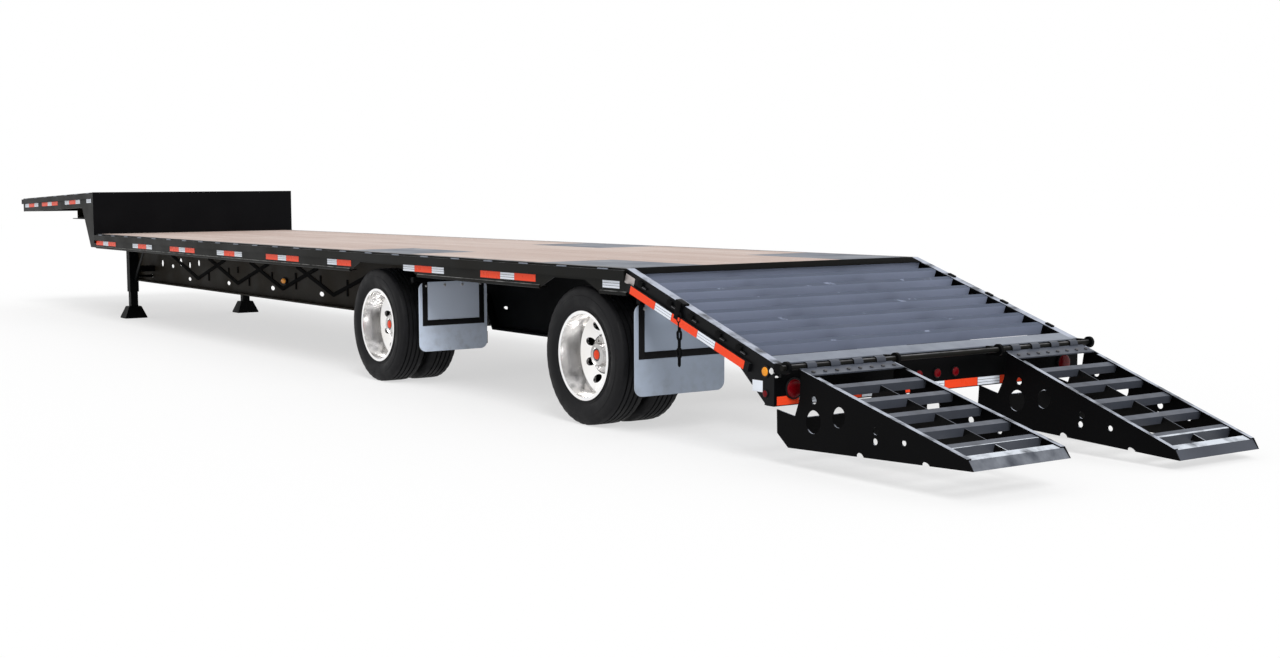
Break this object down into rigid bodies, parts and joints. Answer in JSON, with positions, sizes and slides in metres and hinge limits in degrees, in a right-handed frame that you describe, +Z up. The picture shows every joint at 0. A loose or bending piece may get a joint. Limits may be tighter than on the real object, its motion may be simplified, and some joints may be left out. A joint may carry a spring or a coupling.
{
  "type": "drop deck trailer",
  "caption": "Two-level flatbed semi-trailer with spread twin-wheel axles, a sloping dovetail, hinged loading ramps, landing legs and a kingpin coupler.",
  "frame": {"origin": "on the ground under the middle of the trailer's length and width", "axes": "+X forward to the nose, +Y to the left side, +Z up"},
  "size_m": [17.4656, 2.591, 1.575],
  "materials": {
    "black_paint": "satin black paint",
    "tread_paint": "grey paint on the treads",
    "wood": "hardwood boards",
    "cover_steel": "flat steel plate",
    "polished": "polished aluminium",
    "tyre": "black rubber",
    "axle_paint": "black paint",
    "hub": "hub and drum",
    "air_spring": "rubber bellows",
    "flap": "pale grey panel",
    "red_lens": "red lens",
    "amber_lens": "amber lens",
    "bright_steel": "bare steel"
  },
  "bodies": {
    "chassis": {"main_beams": "black_paint", "web_braces": "black_paint", "crossmembers": "black_paint", "side_rail_left": "black_paint", "side_rail_right": "black_paint", "upper_rail_left": "black_paint", "upper_rail_right": "black_paint", "rub_rails": "black_paint", "main_deck": "wood", "upper_deck": "wood", "wheel_covers": "cover_steel", "deck_header": "black_paint", "nose_bolster": "black_paint", "drop_plate": "black_paint", "neck_sides": "black_paint", "coupler_plate": "black_paint", "kingpin": "bright_steel", "landing_leg_left": "black_paint", "landing_leg_right": "black_paint", "landing_bracing": "black_paint", "landing_crank": "bright_steel", "axle_front": "axle_paint", "axle_rear": "axle_paint", "suspension_hangers": "black_paint", "trailing_arms": "black_paint", "air_springs": "air_spring", "brake_chambers": "axle_paint", "air_tank": "black_paint", "mud_flaps": "flap", "flap_bars": "black_paint", "dovetail_side_left": "black_paint", "dovetail_side_right": "black_paint", "dovetail_bars": "tread_paint", "dovetail_lip": "tread_paint", "rear_frame": "black_paint", "hinge_lugs": "black_paint", "hinge_rod": "bright_steel", "tail_lamps": "red_lens", "small_lamps": "red_lens", "amber_lamps": "amber_lens"},
    "wheel_front_left": {"tyres_front_left": "tyre", "rims_front_left": "polished", "hub_front_left": "hub"},
    "wheel_front_right": {"tyres_front_right": "tyre", "rims_front_right": "polished", "hub_front_right": "hub"},
    "wheel_rear_left": {"tyres_rear_left": "tyre", "rims_rear_left": "polished", "hub_rear_left": "hub"},
    "wheel_rear_right": {"tyres_rear_right": "tyre", "rims_rear_right": "polished", "hub_rear_right": "hub"},
    "ramp_left": {"ramp_sides_left": "black_paint", "ramp_treads_left": "tread_paint", "ramp_hinge_left": "tread_paint"},
    "ramp_right": {"ramp_sides_right": "black_paint", "ramp_treads_right": "tread_paint", "ramp_hinge_right": "tread_paint"}
  },
  "joints": [
    {"name": "wheel_front_left_spin", "type": "hinge", "parent": "chassis", "child": "wheel_front_left", "pos_m": [-2.26518, 0.9845, 0.465], "axis": [0, 1, 0], "continuous": true},
    {"name": "wheel_front_right_spin", "type": "hinge", "parent": "chassis", "child": "wheel_front_right", "pos_m": [-2.26518, -0.9845, 0.465], "axis": [0, 1, 0], "continuous": true},
    {"name": "wheel_rear_left_spin", "type": "hinge", "parent": "chassis", "child": "wheel_rear_left", "pos_m": [-5.33818, 0.9845, 0.465], "axis": [0, 1, 0], "continuous": true},
    {"name": "wheel_rear_right_spin", "type": "hinge", "parent": "chassis", "child": "wheel_rear_right", "pos_m": [-5.33818, -0.9845, 0.465], "axis": [0, 1, 0], "continuous": true},
    {"name": "ramp_left_hinge", "type": "hinge", "parent": "chassis", "child": "ramp_left", "pos_m": [-7.42218, 0, 0.57184], "axis": [0, 1, 0], "range_deg": [-5, 175]},
    {"name": "ramp_right_hinge", "type": "hinge", "parent": "chassis", "child": "ramp_right", "pos_m": [-7.42218, 0, 0.57184], "axis": [0, 1, 0], "range_deg": [0, 180]}
  ]
}
